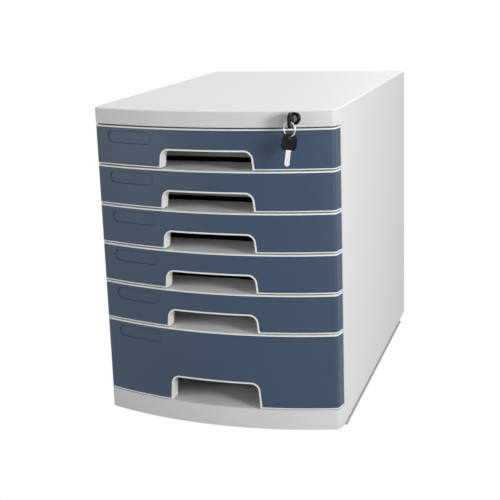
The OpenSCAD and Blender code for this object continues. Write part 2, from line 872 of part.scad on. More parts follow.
top_cover();
side_panel_left();
side_panel_right();
back_panel();
base_plinth();
foot_pads();
casing_screws();
back_screws();
lock_body();
lock_clip();
lock_plug();
lock_cam();
cam_screw();
key_blade();
key_bow();
key_ring();
spare_key_blade();
spare_key_bow();
locking_bar();
bar_hooks();
bar_guides();
drawer_frame(1);  // drawer_frame_1
drawer_frame(2);  // drawer_frame_2
drawer_frame(3);  // drawer_frame_3
drawer_frame(4);  // drawer_frame_4
drawer_frame(5);  // drawer_frame_5
drawer_frame(6);  // drawer_frame_6
drawer_panel(1);  // drawer_panel_1
drawer_panel(2);  // drawer_panel_2
drawer_panel(3);  // drawer_panel_3
drawer_panel(4);  // drawer_panel_4
drawer_panel(5);  // drawer_panel_5
drawer_panel(6);  // drawer_panel_6
drawer_tray(1);  // drawer_tray_1
drawer_tray(2);  // drawer_tray_2
drawer_tray(3);  // drawer_tray_3
drawer_tray(4);  // drawer_tray_4
drawer_tray(5);  // drawer_tray_5
drawer_tray(6);  // drawer_tray_6
frame_screws(1);  // frame_screws_1
frame_screws(2);  // frame_screws_2
frame_screws(3);  // frame_screws_3
frame_screws(4);  // frame_screws_4
frame_screws(5);  // frame_screws_5
frame_screws(6);  // frame_screws_6
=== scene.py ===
"""Looks of a lockable desktop cabinet with six bowed drawers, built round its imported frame."""

import logging
import math
from dataclasses import dataclass
from enum import Enum
from typing import Callable, Iterable, Sequence

import bmesh
import bpy
import numpy as np
from mathutils import Matrix, Vector


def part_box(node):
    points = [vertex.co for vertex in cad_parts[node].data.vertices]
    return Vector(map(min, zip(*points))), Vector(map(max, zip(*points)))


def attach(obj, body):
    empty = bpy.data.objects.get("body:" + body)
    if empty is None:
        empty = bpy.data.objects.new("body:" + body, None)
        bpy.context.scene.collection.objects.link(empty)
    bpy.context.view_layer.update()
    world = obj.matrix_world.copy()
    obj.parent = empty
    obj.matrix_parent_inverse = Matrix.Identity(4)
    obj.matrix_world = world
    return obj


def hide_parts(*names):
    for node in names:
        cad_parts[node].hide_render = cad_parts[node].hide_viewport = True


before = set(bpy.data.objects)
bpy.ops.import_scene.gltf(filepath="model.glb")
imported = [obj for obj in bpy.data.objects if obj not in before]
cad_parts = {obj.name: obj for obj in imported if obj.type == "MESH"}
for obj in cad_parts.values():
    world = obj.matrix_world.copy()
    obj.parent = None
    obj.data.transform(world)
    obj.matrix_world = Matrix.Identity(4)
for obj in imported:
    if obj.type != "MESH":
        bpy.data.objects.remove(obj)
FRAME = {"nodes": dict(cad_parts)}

log = logging.getLogger("drawer_cabinet")

MM = 0.001            # pieces are shaped in millimetres and settled in metres
DRAWERS = 6
DEEP = 6              # the number of the deep drawer
SHADE_MARK = "painted_shade"     # the mesh attribute that marks a recess's wall for painted shade
NEAR = 0.01           # how far two levels may differ and still be the same, in millimetres
PAST = 1.0            # how far a cutting tool reaches past what it cuts, in millimetres
SHARP = 30.0          # how far two faces must turn at an edge for it to be rounded, in degrees

Colour = tuple[float, float, float]
Place = tuple[float, float, float]
Point = tuple[float, float]


# ------------------------------------------------------------------ materials


def linear(shade: Sequence[float]) -> tuple[float, float, float, float]:
    """Turns an sRGB colour of 0 to 255 into linear RGBA.

    Args:
        shade: Red, green and blue as they look on a screen.

    Returns:
        The colour as Blender's sockets hold it.
    """
    parts = [c / 255 for c in shade]
    return (*[c / 12.92 if c <= 0.04045 else ((c + 0.055) / 1.055) ** 2.4 for c in parts], 1.0)


class Value:
    """A shader socket that takes part in Python arithmetic."""

    def __init__(self, painter: "Painter", socket: bpy.types.NodeSocket) -> None:
        """Wraps an output socket of the painter's node tree."""
        self.painter = painter
        self.socket = socket

    def __add__(self, other: "Value | float") -> "Value":
        """Sum."""
        return self.painter.maths("ADD", self, other)

    def __mul__(self, other: "Value | float") -> "Value":
        """Product."""
        return self.painter.maths("MULTIPLY", self, other)

    def __sub__(self, other: "Value | float") -> "Value":
        """Difference."""
        return self.painter.maths("SUBTRACT", self, other)

    def swing(self, width: float) -> "Value":
        """How far the value is from 0.5, times width."""
        return (self - 0.5) * width

    def joined(self, other: "Value", share: float = 0.5) -> "Value":
        """The mean with another value, whose weight is share."""
        return self * (1 - share) + other * share


class Painter:
    """Builds one node material around a Principled shader."""

    def __init__(self, name: str) -> None:
        """Makes the material and finds its shader.

        Args:
            name: The material's name.
        """
        self.material = bpy.data.materials.new(name)
        self.material.use_nodes = True
        self.tree = self.material.node_tree
        self.shader = self.tree.nodes["Principled BSDF"]

    def node(self, kind: str, settings: dict | None = None, **inputs: object) -> bpy.types.Node:
        """Adds a node, sets its settings, then its sockets.

        Args:
            kind: The node's Blender type.
            settings: Attributes of the node.
            inputs: Values or links by socket name, with _ for a space.

        Returns:
            The new node.
        """
        made = self.tree.nodes.new(kind)
        for key, value in (settings or {}).items():
            setattr(made, key, value)
        for key, value in inputs.items():
            self.plug(made.inputs[key.replace("_", " ")], value)
        return made

    def plug(self, socket: bpy.types.NodeSocket, value: object) -> None:
        """Links a value to a socket, or sets the socket to a constant.

        Args:
            socket: An input socket.
            value: A value, an output socket or a constant.
        """
        if isinstance(value, Value):
            self.tree.links.new(value.socket, socket)
        elif isinstance(value, bpy.types.NodeSocket):
            self.tree.links.new(value, socket)
        else:
            socket.default_value = value

    def maths(self, operation: str, *terms: "Value | float") -> Value:
        """A Math node of these terms.

        Args:
            operation: The node's operation, such as "ADD".
            terms: Its inputs, in order.

        Returns:
            Its result.
        """
        made = self.node("ShaderNodeMath", {"operation": operation})
        for socket, term in zip(made.inputs, terms):
            self.plug(socket, term)
        return Value(self, made.outputs[0])

    def place(self, stretch: Sequence[float] = (1, 1, 1)) -> bpy.types.NodeSocket:
        """Object coordinates, stretched along each axis.

        Args:
            stretch: The factors for X, Y and Z.

        Returns:
            The socket of the coordinates.
        """
        coordinates = self.node("ShaderNodeTexCoord")
        mapping = self.node("ShaderNodeMapping", Vector=coordinates.outputs["Object"])
        mapping.inputs["Scale"].default_value = stretch
        return mapping.outputs[0]

    def noise(self, size: float, detail: float = 2.0, stretch: Sequence[float] = (1, 1, 1)) -> Value:
        """Noise whose features are about size metres across, from 0 to 1.

        Args:
            size: How wide the features are, in metres.
            detail: How many finer layers it has.
            stretch: The factors for the coordinates.

        Returns:
            The noise.
        """
        made = self.node("ShaderNodeTexNoise", Vector=self.place(stretch), Scale=1 / size,
                         Detail=detail, Roughness=0.55)
        return Value(self, made.outputs[0])

    def cells(self, size: float, output: str = "Distance") -> Value:
        """A scatter of cells size metres apart: how near the next one is, or its own Color."""
        made = self.node("ShaderNodeTexVoronoi", Vector=self.place(), Scale=1 / size)
        return Value(self, made.outputs[output])

    def stretch(self, value: Value, low: float, high: float) -> Value:
        """Stretches a value so that it is 0 at low and below, and 1 at high and above."""
        made = self.node("ShaderNodeMapRange", Value=value, From_Min=low, From_Max=high)
        return Value(self, made.outputs[0])

    def mix(self, share: object, first: object, second: object, how: str = "MIX") -> Value:
        """A Mix node of two colours, each linear RGBA or a link.

        Args:
            share: 0 for the first colour to 1 for the second.
            first: The first colour.
            second: The second colour.
            how: The node's blend type.

        Returns:
            The mixed colour.
        """
        made = self.node("ShaderNodeMix", {"data_type": "RGBA", "blend_type": how}, Factor=share)
        self.plug(made.inputs[6], first)
        self.plug(made.inputs[7], second)
        return Value(self, made.outputs[2])

    def blend(self, share: Value, low: Sequence[float], high: Sequence[float]) -> Value:
        """A colour that goes from one sRGB shade to another as share goes from 0 to 1."""
        return self.mix(share, linear(low), linear(high))

    def shaded(self, colour: Value, attribute: str, left: float) -> Value:
        """Paints shade: darkens a colour where an attribute of the mesh is 1.

        Args:
            colour: The colour of the open surface.
            attribute: The attribute's name. A mesh without it keeps its colour.
            left: The share of the colour that is left under the painted shade.

        Returns:
            The shaded colour.
        """
        mark = self.node("ShaderNodeAttribute", {"attribute_name": attribute})
        return self.mix(mark.outputs["Fac"], colour, (left, left, left, 1.0), "MULTIPLY")

    def bump(self, height: Value, distance: float) -> None:
        """Raises the surface by a height of 0 to 1, at most distance metres."""
        made = self.node("ShaderNodeBump", Strength=1.0, Distance=distance, Height=height)
        self.plug(self.shader.inputs["Normal"], made.outputs[0])

    def set(self, **sockets: object) -> None:
        """Sets or links the shader's own sockets, with _ for a space."""
        for key, value in sockets.items():
            self.plug(self.shader.inputs[key.replace("_", " ")], value)


@dataclass(frozen=True)
class Recipe:
    """How a material is made from its shade."""

    name: str
    shade: Colour

    def material(self) -> bpy.types.Material:
        """Makes the material.

        Returns:
            The new material.
        """
        painter = Painter(self.name)
        self.paint(painter)
        return painter.material

    def paint(self, paint: Painter) -> None:
        """Sets the shader. Each kind of recipe has its own way."""
        raise NotImplementedError

    def tinted(self, by: float) -> list[float]:
        """The shade, lighter by some levels of 0 to 255, or darker where by is negative."""
        return [min(c + by, 255) for c in self.shade]


@dataclass(frozen=True)
class MouldedPlastic(Recipe):
    """Injection-moulded plastic with a spark-eroded grain."""

    roughness: float = 0.45
    grain: float = 0.5 * MM
    depth: float = 0.02 * MM
    mottle: float = 4.0
    shine: float = 0.45
    # the share of colour left where painted shade darkens a recess's wall
    shade_left: float = 0.3
    drift_size: float = 60 * MM
    speck_size: float = 4.0
    speck_share: float = 0.25
    drift_rough: float = 0.12
    speck_rough: float = 0.06

    def paint(self, paint: Painter) -> None:
        """Sets a drifting colour, painted shade on recess walls and a grain of pits. A speck is speck_size
        grains wide.

        Args:
            paint: The painter of the new material.
        """
        drift = paint.noise(self.drift_size, detail=3)
        speck = paint.noise(self.grain * self.speck_size)
        colour = paint.blend(drift.joined(speck, self.speck_share),
                             self.tinted(-self.mottle), self.tinted(self.mottle))
        # painted shade: the colour is darkened on faces marked as a recess's wall
        paint.set(Base_Color=paint.shaded(colour, SHADE_MARK, self.shade_left),
                  Roughness=drift.swing(self.drift_rough) + speck.swing(self.speck_rough) + self.roughness,
                  Specular_IOR_Level=self.shine)
        paint.bump(paint.cells(self.grain).joined(paint.noise(self.grain, detail=3)), self.depth)


@dataclass(frozen=True)
class PlatedSteel(Recipe):
    """Bright plated metal with fine drawing marks along one axis."""

    roughness: float = 0.28
    along: Place = (1, 1, 0.06)
    tint: float = 16.0
    mark_size: float = 0.35 * MM
    mark_depth: float = 0.01 * MM
    mark_rough: float = 0.2
    cloud_size: float = 4 * MM

    def paint(self, paint: Painter) -> None:
        """Sets a metal that is clouded and marked.

        Args:
            paint: The painter of the new material.
        """
        marks = paint.noise(self.mark_size, 4, self.along)
        colour = paint.blend(marks.joined(paint.noise(self.cloud_size)), self.tinted(-self.tint), self.shade)
        paint.set(Base_Color=colour, Metallic=1.0, Roughness=marks.swing(self.mark_rough) + self.roughness)
        paint.bump(marks, self.mark_depth)


@dataclass(frozen=True)
class ZincPlate(Recipe):
    """Zinc-plated sheet with soft crystal flowers."""

    roughness: float = 0.34
    tint: float = 30.0
    flower_size: float = 3 * MM
    flower_span: Point = (0.1, 0.9)
    flower_rough: float = 0.15
    cloud_size: float = 12 * MM
    cloud_share: float = 0.4
    relief: float = 0.02 * MM

    def paint(self, paint: Painter) -> None:
        """Sets a metal with a flower in each cell.

        Args:
            paint: The painter of the new material.
        """
        flower = paint.stretch(paint.cells(self.flower_size, "Color"), *self.flower_span)
        cloud = paint.noise(self.cloud_size, detail=3)
        colour = paint.blend(flower.joined(cloud, self.cloud_share), self.tinted(-self.tint), self.shade)
        paint.set(Base_Color=colour, Metallic=0.9, Roughness=flower * self.flower_rough + self.roughness)
        paint.bump(cloud, self.relief)


@dataclass(frozen=True)
class Rubber(Recipe):
    """Matt black rubber with a dusty bloom."""

    roughness: float = 0.75
    tint: float = 22.0
    bloom_size: float = 6 * MM
    bloom_span: Point = (0.45, 0.8)
    bloom_rough: float = 0.15
    grain: float = 0.6 * MM
    depth: float = 0.05 * MM

    def paint(self, paint: Painter) -> None:
        """Sets a dull surface with paler clouds.

        Args:
            paint: The painter of the new material.
        """
        bloom = paint.noise(self.bloom_size, detail=4)
        colour = paint.blend(paint.stretch(bloom, *self.bloom_span), self.shade, self.tinted(self.tint))
        paint.set(Base_Color=colour, Roughness=bloom * self.bloom_rough + self.roughness)
        paint.bump(paint.noise(self.grain, detail=3), self.depth)


class Finish(Enum):
    """The finishes of the cabinet, each with the record's slot that it belongs to."""

    SHELL = ("shell_plastic", MouldedPlastic(
        "shell_grain", (214, 214, 214), roughness=0.5, shine=0.2))
    FRAME = ("frame_plastic", MouldedPlastic(
        "frame_smooth", (232, 232, 230), roughness=0.42, grain=0.4 * MM, depth=0.01 * MM))
    PANEL = ("panel_plastic", MouldedPlastic(
        "panel_satin", (50, 70, 92), roughness=0.44, grain=0.35 * MM, depth=0.014 * MM, mottle=3.0,
        shine=0.4))
    TRAY = ("tray_plastic", MouldedPlastic(
        "tray_grain", (160, 157, 150), roughness=0.55, grain=0.6 * MM, depth=0.02 * MM))
    LOCK = ("lock_black", MouldedPlastic(
        "lock_coating", (5, 5, 6), roughness=0.2, grain=0.3 * MM, depth=0.006 * MM, mottle=2.0, shine=0.2))
    STEEL = ("lock_steel", PlatedSteel("plated_steel", (205, 206, 208)))
    KEY = ("key_plastic", MouldedPlastic(
        "key_head", (6, 6, 7), roughness=0.26, grain=0.4 * MM, depth=0.006 * MM, mottle=2.0, shine=0.15))
    ZINC = ("zinc_plate", ZincPlate("zinc_sheet", (196, 198, 200)))
    RUBBER = ("foot_rubber", Rubber("pad_rubber", (26, 26, 26)))

    def __init__(self, slot: str, recipe: Recipe) -> None:
        """Keeps the record's slot and the material's recipe."""
        self.slot = slot
        self.recipe = recipe


class Palette:
    """Makes each finish's material once."""

    def __init__(self) -> None:
        """Makes them all."""
        self.made = {finish: finish.recipe.material() for finish in Finish}

    def dress(self, piece: bpy.types.Object, finish: Finish) -> None:
        """Gives a new piece or a CAD node its finish."""
        piece.data.materials.clear()
        piece.data.materials.append(self.made[finish])


# ------------------------------------------------------------------ bench


def linked(name: str, data: bpy.types.ID) -> bpy.types.Object:
    """A new object in the scene that shows this data.

    Args:
        name: The object's name.
        data: A mesh, a light or a camera.

    Returns:
        The new object.
    """
    made = bpy.data.objects.new(name, data)
    bpy.context.scene.collection.objects.link(made)
    return made


class Bench:
    """Modelling by operators: primitives, edits and modifiers, in millimetres."""

    @staticmethod
    def clear() -> None:
        """Deselects everything."""
        bpy.ops.object.select_all(action="DESELECT")

    @classmethod
    def take(cls, piece: bpy.types.Object) -> None:
        """Makes one piece the only selected and the active one.

        Args:
            piece: The piece.
        """
        cls.clear()
        piece.select_set(True)
        bpy.context.view_layer.objects.active = piece

    @classmethod
    def edit(cls, piece: bpy.types.Object, mode: str = "FACE") -> None:
        """Opens a piece in edit mode with nothing selected.

        Args:
            piece: The piece.
            mode: What is to be selected: "VERT", "EDGE" or "FACE".
        """
        cls.take(piece)
        bpy.ops.object.mode_set(mode="EDIT")
        bpy.ops.mesh.select_mode(type=mode)
        bpy.ops.mesh.select_all(action="DESELECT")

    @staticmethod
    def close() -> None:
        """Leaves edit mode."""
        bpy.ops.object.mode_set(mode="OBJECT")

    @classmethod
    def prism(cls, name: str, outline: Sequence[Point], low: float, high: float,
              axis: str = "Z") -> bpy.types.Object:
        """A prism over an outline, drawn as a filled ring and extruded.

        Args:
            name: The piece's name.
            outline: Points, X and Y for a prism along Z, or X and Z for one along Y.
            low: Where it starts along its axis.
            high: Where it ends.
            axis: "Y" or "Z".

        Returns:
            The new piece.
        """
        cls.clear()
        bpy.ops.mesh.primitive_circle_add(vertices=len(outline), fill_type="NGON", location=(0, 0, 0))
        piece = bpy.context.active_object
        piece.name = name
        for vertex, (u, v) in zip(piece.data.vertices, outline):
            vertex.co = (u, low, v) if axis == "Y" else (u, v, low)
        cls.edit(piece)
        bpy.ops.mesh.select_all(action="SELECT")
        step = (0, high - low, 0) if axis == "Y" else (0, 0, high - low)
        bpy.ops.mesh.extrude_region_move(TRANSFORM_OT_translate={"value": step})
        cls.outwards()
        cls.close()
        return piece

    @staticmethod
    def outwards() -> None:
        """Turns every face of the piece that is open for editing outwards."""
        bpy.ops.mesh.select_all(action="SELECT")
        bpy.ops.mesh.normals_make_consistent(inside=False)

    @classmethod
    def block(cls, name: str, low: Sequence[float], high: Sequence[float]) -> bpy.types.Object:
        """A cuboid between two corners.

        Args:
            name: The piece's name.
            low: Its lowest X, Y and Z.
            high: Its highest X, Y and Z.

        Returns:
            The new piece.
        """
        cls.clear()
        centre = [(a + b) / 2 for a, b in zip(low, high)]
        bpy.ops.mesh.primitive_cube_add(size=1.0, location=centre)
        piece = bpy.context.active_object
        piece.name = name
        piece.scale = [b - a for a, b in zip(low, high)]
        bpy.ops.object.transform_apply(location=True, rotation=True, scale=True)
        return piece

    @classmethod
    def rod(cls, name: str, start: Sequence[float], end: Sequence[float], radius: float,
            sides: int = 48) -> bpy.types.Object:
        """A round bar between two points.

        Args:
            name: The piece's name.
            start: The middle of one end.
            end: The middle of the other end.
            radius: Its radius.
            sides: How many flats go round it.

        Returns:
            The new piece.
        """
        cls.clear()
        a, b = Vector(start), Vector(end)
        bpy.ops.mesh.primitive_cylinder_add(vertices=sides, radius=radius, depth=(b - a).length,
                                            location=(a + b) / 2)
        piece = bpy.context.active_object
        piece.name = name
        piece.rotation_mode = "QUATERNION"
        piece.rotation_quaternion = (b - a).to_track_quat("Z", "Y")
        bpy.ops.object.transform_apply(location=True, rotation=True, scale=True)
        return piece

    @classmethod
    def modify(cls, piece: bpy.types.Object, kind: str, **settings: object) -> None:
        """Adds a modifier with these settings and applies it.

        Args:
            piece: The piece.
            kind: The modifier's Blender type.
            settings: The modifier's attributes.
        """
        cls.take(piece)
        modifier = piece.modifiers.new(kind.lower(), kind)
        for key, value in settings.items():
            setattr(modifier, key, value)
        bpy.ops.object.modifier_apply(modifier=modifier.name)

    @classmethod
    def combine(cls, piece: bpy.types.Object, tools: Iterable[bpy.types.Object],
                operation: str = "DIFFERENCE") -> None:
        """Cuts tools out of a piece, or adds them to it, and clears the tools away.

        Args:
            piece: The piece.
            tools: The pieces to cut out or to add.
            operation: "DIFFERENCE" or "UNION".
        """
        for tool in tools:
            cls.modify(piece, "BOOLEAN", operation=operation, object=tool, solver="EXACT")
            bpy.data.objects.remove(tool)

    @classmethod
    def soften(cls, piece: bpy.types.Object, width: float, segments: int = 2,
               angle: float = 40.0) -> None:
        """Rounds every edge sharper than an angle."""
        cls.modify(piece, "BEVEL", width=width, segments=segments, limit_method="ANGLE",
                   angle_limit=math.radians(angle), miter_outer="MITER_SHARP", use_clamp_overlap=True)

    @classmethod
    def round_edges(cls, piece: bpy.types.Object, chosen: Callable[[Vector, Vector], bool],
                    width: float, segments: int) -> None:
        """Bevels the edges that a test on their two ends picks out.

        Args:
            piece: The piece.
            chosen: Takes both ends of an edge and says whether to round it.
            width: The rounding's width.
            segments: How many flats it has.
        """
        cls.edit(piece, "EDGE")
        mesh = bmesh.from_edit_mesh(piece.data)
        for edge in mesh.edges:
            sharp = len(edge.link_faces) == 2 and edge.calc_face_angle() > math.radians(SHARP)
            edge.select_set(sharp and chosen(edge.verts[0].co, edge.verts[1].co))
        bmesh.update_edit_mesh(piece.data)
        bpy.ops.mesh.bevel(offset=width, segments=segments, profile=0.5)
        cls.close()

    @classmethod
    def slice(cls, piece: bpy.types.Object, places: Iterable[float]) -> None:
        """Cuts a piece into strips across X, so that it can follow a curve.

        Args:
            piece: The piece.
            places: Where to cut, along X.
        """
        cls.edit(piece)
        for place in places:
            bpy.ops.mesh.select_all(action="SELECT")
            bpy.ops.mesh.bisect(plane_co=(place, 0.0, 0.0), plane_no=(1.0, 0.0, 0.0), threshold=1e-4)
        cls.close()

    @classmethod
    def reshape(cls, piece: bpy.types.Object, rule: Callable[[np.ndarray], np.ndarray]) -> None:
        """Moves every point of a piece by a rule on an array of points.

        Args:
            piece: The piece.
            rule: Takes the points, a row for each, and returns where they go.
        """
        points = np.empty(len(piece.data.vertices) * 3, dtype=np.float64)
        piece.data.vertices.foreach_get("co", points)
        piece.data.vertices.foreach_set("co", rule(points.reshape(-1, 3)).ravel())
        piece.data.update()

    @classmethod
    def merge(cls, pieces: Sequence[bpy.types.Object], name: str) -> bpy.types.Object:
        """Joins pieces into one object.

        Args:
            pieces: The pieces. The first takes up the others.
            name: The joined piece's name.

        Returns:
            The joined piece.
        """
        cls.take(pieces[0])
        for piece in pieces:
            piece.select_set(True)
        if len(pieces) > 1:
            bpy.ops.object.join()
        pieces[0].name = name
        return pieces[0]

    @classmethod
    def settle(cls, piece: bpy.types.Object, smooth: float = 35.0) -> bpy.types.Object:
        """Cleans a finished piece, shades it and scales its mesh to metres.

        Args:
            piece: A piece in millimetres.
            smooth: Edges flatter than this many degrees look round.

        Returns:
            The piece, with its object at the origin.
        """
        cls.edit(piece, "VERT")
        bpy.ops.mesh.select_all(action="SELECT")
        bpy.ops.mesh.remove_doubles(threshold=0.002)
        bpy.ops.mesh.dissolve_degenerate(threshold=0.002)
        cls.outwards()
        cls.close()
        piece.data.transform(Matrix.Scale(MM, 4))
        cls.take(piece)
        bpy.ops.object.shade_smooth_by_angle(angle=math.radians(smooth))
        cls.modify(piece, "WEIGHTED_NORMAL", keep_sharp=True, weight=60)
        return piece

    @classmethod
    def from_node(cls, node: str, name: str) -> bpy.types.Object:
        """A merged copy of a CAD node, with its flat faces made whole again, in millimetres.

        Args:
            node: The CAD node.
            name: The copy's name.

        Returns:
            The copy.
        """
        piece = linked(name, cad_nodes()[node].data.copy())
        piece.data.transform(Matrix.Scale(1 / MM, 4))
        cls.edit(piece, "VERT")
        bpy.ops.mesh.select_all(action="SELECT")
        bpy.ops.mesh.remove_doubles(threshold=0.001)
        bpy.ops.mesh.select_all(action="SELECT")
        bpy.ops.mesh.dissolve_limited(angle_limit=math.radians(0.5))
        cls.close()
        return piece

    @classmethod
    def softened(cls, node: str, name: str, width: float) -> bpy.types.Object:
        """A finished copy of a CAD node with all its sharp edges rounded.

        Args:
            node: The CAD node.
            name: The copy's name.
            width: How wide the roundings are, in millimetres.

        Returns:
            The copy, in metres.
        """
        piece = cls.from_node(node, name)
        cls.soften(piece, width)
        return cls.settle(piece)


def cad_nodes() -> dict[str, bpy.types.Object]:
    """The CAD nodes by name."""
    return FRAME["nodes"]


class Fitter:
    """Puts finished pieces on their bodies and reports them."""

    def __init__(self, palette: Palette) -> None:
        """Keeps the palette that dresses the pieces."""
        self.palette = palette

    def fit(self, piece: bpy.types.Object, body: str, finish: Finish, *nodes: str) -> None:
        """Dresses a piece and has it ride on a body in place of its CAD nodes.

        Args:
            piece: A finished piece.
            body: The body that carries it.
            finish: Its finish.
            nodes: The CAD nodes that it replaces.
        """
        self.palette.dress(piece, finish)
        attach(piece, body)
        if nodes:
            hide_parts(*nodes)
        log.info("%s rides on %s: %d faces", piece.name, body, len(piece.data.polygons))

    def keep(self, node: str, finish: Finish) -> None:
        """Dresses a CAD node whose shape is right."""
        self.palette.dress(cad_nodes()[node], finish)
        log.info("%s keeps its solid", node)


# ------------------------------------------------------------------ the bowed front


def node_box(node: str) -> tuple[Vector, Vector]:
    """Lowest and highest corner of a CAD node, in millimetres."""
    low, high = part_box(node)
    return low / MM, high / MM


@dataclass
class BowedPlan:
    """The plan that the cover, the drawer fronts and the plinth share, seen from above.

    A place on it is given by s, the length along the face from its middle, and by depth,
    how far behind the face the place lies.
    """

    half_w: float
    nose_y: float
    sag: float = 22.5
    return_d: float = 14.5
    return_in: float = 3.4
    corner_r: float = 6.0
    bow_step: float = 6.0
    corner_step: float = 5.0
    last_strip: float = 0.5

    def __post_init__(self) -> None:
        """Works out the bow's circle, the corner's circle and the lengths along them."""
        self.front_y = self.nose_y + self.sag + self.return_d
        half = self.half_w - self.return_in
        self.radius = (half ** 2 + self.sag ** 2) / (2 * self.sag)
        self.centre_y = self.nose_y + self.radius
        corner = Vector((half, self.bow_y(half)))
        along = (Vector((self.half_w, self.front_y)) - corner).normalized()
        inward = Vector((-along.y, along.x))
        q = corner + inward * self.corner_r - Vector((0, self.centre_y))
        reach = q.dot(along)
        root = math.sqrt(reach ** 2 - (q.length_squared - (self.radius - self.corner_r) ** 2))
        self.corner = corner + inward * self.corner_r + along * (-reach - root)
        out = self.corner - Vector((0, self.centre_y))
        self.bow_end = math.degrees(math.atan2(out.x, -out.y))
        self.side_angle = math.degrees(math.atan2(-inward.x, inward.y))
        self.s_bow = self.radius * math.radians(self.bow_end)
        self.s_corner = self.s_bow + self.corner_r * math.radians(self.side_angle - self.bow_end)
        self.side_start = self.corner - inward * self.corner_r
        self.along = along

    def bow_y(self, x: float) -> float:
        """Y of the bowed face at a distance x from the middle."""
        return self.centre_y - math.sqrt(self.radius ** 2 - x ** 2)

    def length_at(self, x: float) -> float:
        """Length along the bow from its middle to x."""
        return self.radius * math.asin(x / self.radius)

    def side_length(self, y: float) -> float:
        """Length along the face from its middle to a place on the side return at y."""
        return self.s_corner + (y - self.side_start.y) / self.along.y

    def cuts(self, end: float) -> list[float]:
        """Where a strip is cut so that it follows the face out to a length of end.

        Args:
            end: Where the strip ends, as a length along the face.

        Returns:
            The places, in order.
        """
        bow = int(self.s_bow / self.bow_step)
        turns = int((self.side_angle - self.bow_end) / self.corner_step)
        places = [self.s_bow * i / bow for i in range(bow)]
        places += [self.s_bow + (self.s_corner - self.s_bow) * i / turns for i in range(turns + 1)]
        places = [p for p in places if p < end - self.last_strip]
        return sorted({*places, *[-p for p in places]})

    def wrap(self, points: np.ndarray) -> np.ndarray:
        """Lays flat points of s, depth and height onto the bowed face.

        Args:
            points: A row of s, depth and height for each point.

        Returns:
            A row of X, Y and Z for each point.
        """
        s = np.abs(points[:, 0])
        sign = np.where(points[:, 0] < 0, -1.0, 1.0)
        depth, height = points[:, 1], points[:, 2]
        angle = np.radians(self.bow_end) + (s - self.s_bow) / self.corner_r
        angle = np.clip(angle, np.radians(self.bow_end), np.radians(self.side_angle))
        angle = np.where(s < self.s_bow, s / self.radius, angle)
        on_bow = s < self.s_bow
        reach = np.where(on_bow, self.radius, self.corner_r)
        cx = np.where(on_bow, 0.0, self.corner.x)
        cy = np.where(on_bow, self.centre_y, self.corner.y)
        straight = np.maximum(s - self.s_corner, 0.0)
        x = cx + (reach - depth) * np.sin(angle) + straight * self.along.x
        y = cy - (reach - depth) * np.cos(angle) + straight * self.along.y
        return np.stack([sign * x, y, height], axis=1)

    def outline(self, end: float) -> list[Point]:
        """The face as seen from above, from y = end on the left round to y = end on the right.

        Args:
            end: Where the face ends on both side returns, as Y.

        Returns:
            Its points, in order.
        """
        stop = self.side_length(end)
        places = sorted([*self.cuts(stop), stop, -stop])
        flat = np.array([[s, 0.0, 0.0] for s in places])
        return [(float(x), float(y)) for x, y, _ in self.wrap(flat)]


def arc(centre: Point, radius: float, start: float, stop: float, count: int) -> list[Point]:
    """Points on an arc, with its angles in degrees."""
    angles = [math.radians(start + (stop - start) * i / count) for i in range(count + 1)]
    return [(centre[0] + radius * math.cos(a), centre[1] + radius * math.sin(a)) for a in angles]


def rounded_box(left: float, right: float, half: float, left_r: float, right_r: float,
                left_flats: int, right_flats: int) -> list[Point]:
    """A box outline that is symmetric about the X axis and has round corners.

    Args:
        left: Its lowest X.
        right: Its highest X.
        half: Half its width along Y.
        left_r: The radius of both corners on the left.
        right_r: The radius of both corners on the right.
        left_flats: How many flats make each corner on the left.
        right_flats: How many flats make each corner on the right.

    Returns:
        Its points, in order.
    """
    return [*arc((right - right_r, right_r - half), right_r, -90, 0, right_flats),
            *arc((right - right_r, half - right_r), right_r, 0, 90, right_flats),
            *arc((left + left_r, half - left_r), left_r, 90, 180, left_flats),
            *arc((left + left_r, left_r - half), left_r, 180, 270, left_flats)]


# ------------------------------------------------------------------ drawers


